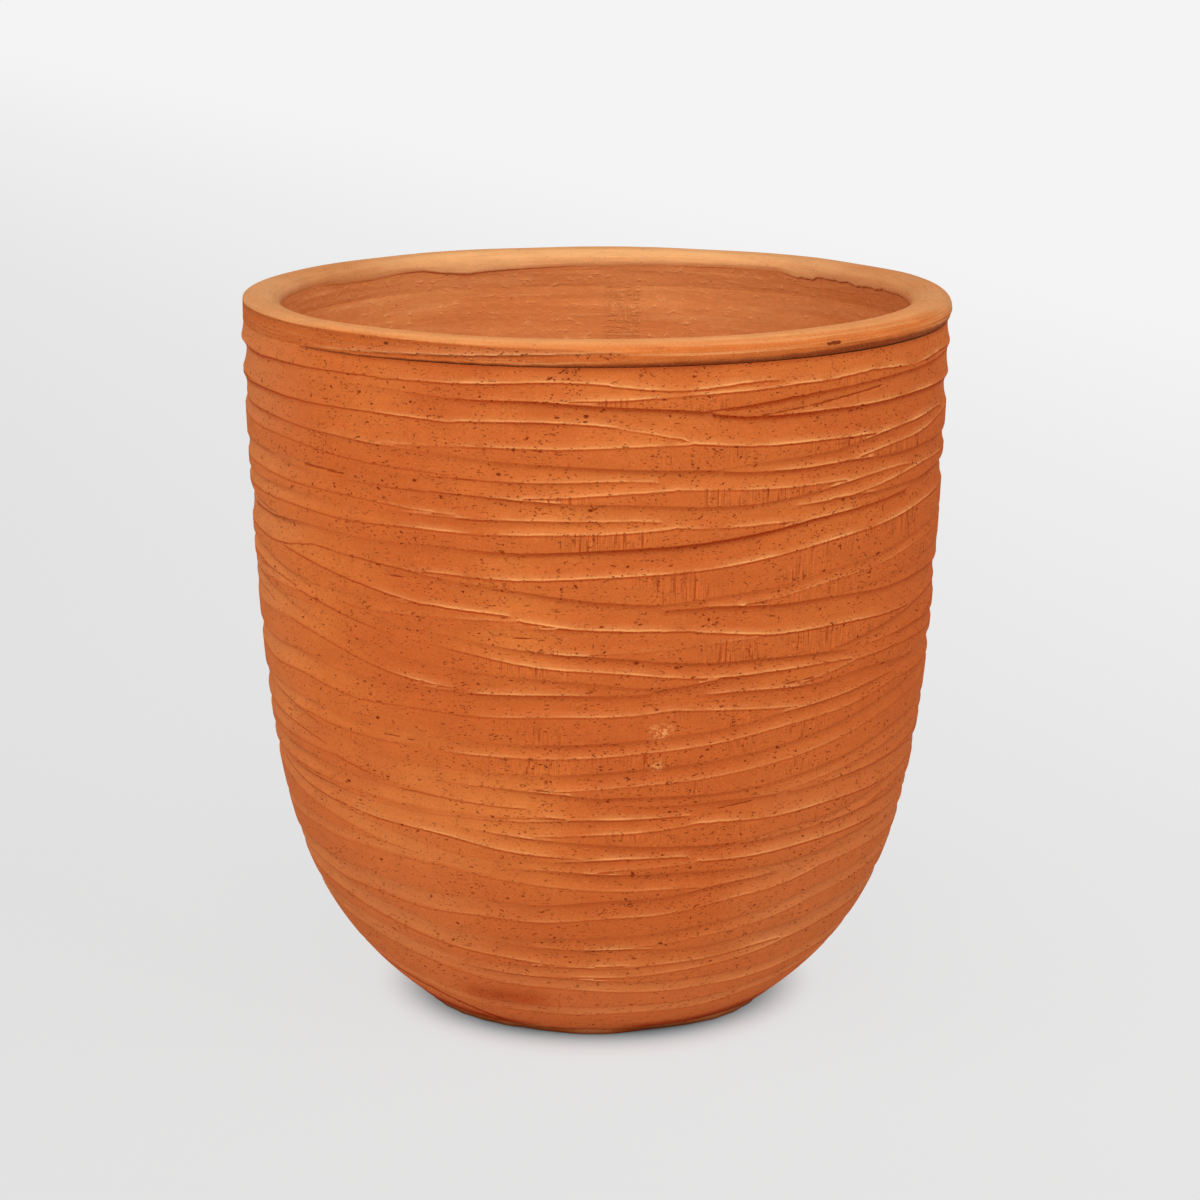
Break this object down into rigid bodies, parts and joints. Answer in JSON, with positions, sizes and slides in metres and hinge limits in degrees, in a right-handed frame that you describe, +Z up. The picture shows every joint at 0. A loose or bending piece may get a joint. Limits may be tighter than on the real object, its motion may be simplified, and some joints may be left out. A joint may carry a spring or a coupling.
{
  "type": "terracotta planter",
  "caption": "Round unglazed terracotta planter with a rolled rim, a turned-in foot, a drain hole and overlapping bands carved round its wall, for holding soil and a plant.",
  "frame": {"origin": "centre of the underside, on the ground", "axes": "+Z up along the pot's axis, -Y towards the front of the picture"},
  "size_m": [0.3799, 0.38, 0.385],
  "materials": {
    "wall_clay": "unglazed fired red clay, scraped in bands, matt",
    "inner_clay": "unglazed fired red clay, smoothed with a wet hand, matt",
    "floor_clay": "unglazed fired red clay, rough from the board it dried on, matt",
    "rim_clay": "unglazed fired clay, rubbed smooth and paler than the wall, matt"
  },
  "bodies": {
    "root": {"floor_slab": "floor_clay", "corner_coil": "inner_clay", "wall_slab_front_right": "wall_clay", "wall_slab_back_right": "wall_clay", "wall_slab_back_left": "wall_clay", "wall_slab_front_left": "wall_clay", "rim_coil": "rim_clay"}
  },
  "joints": []
}
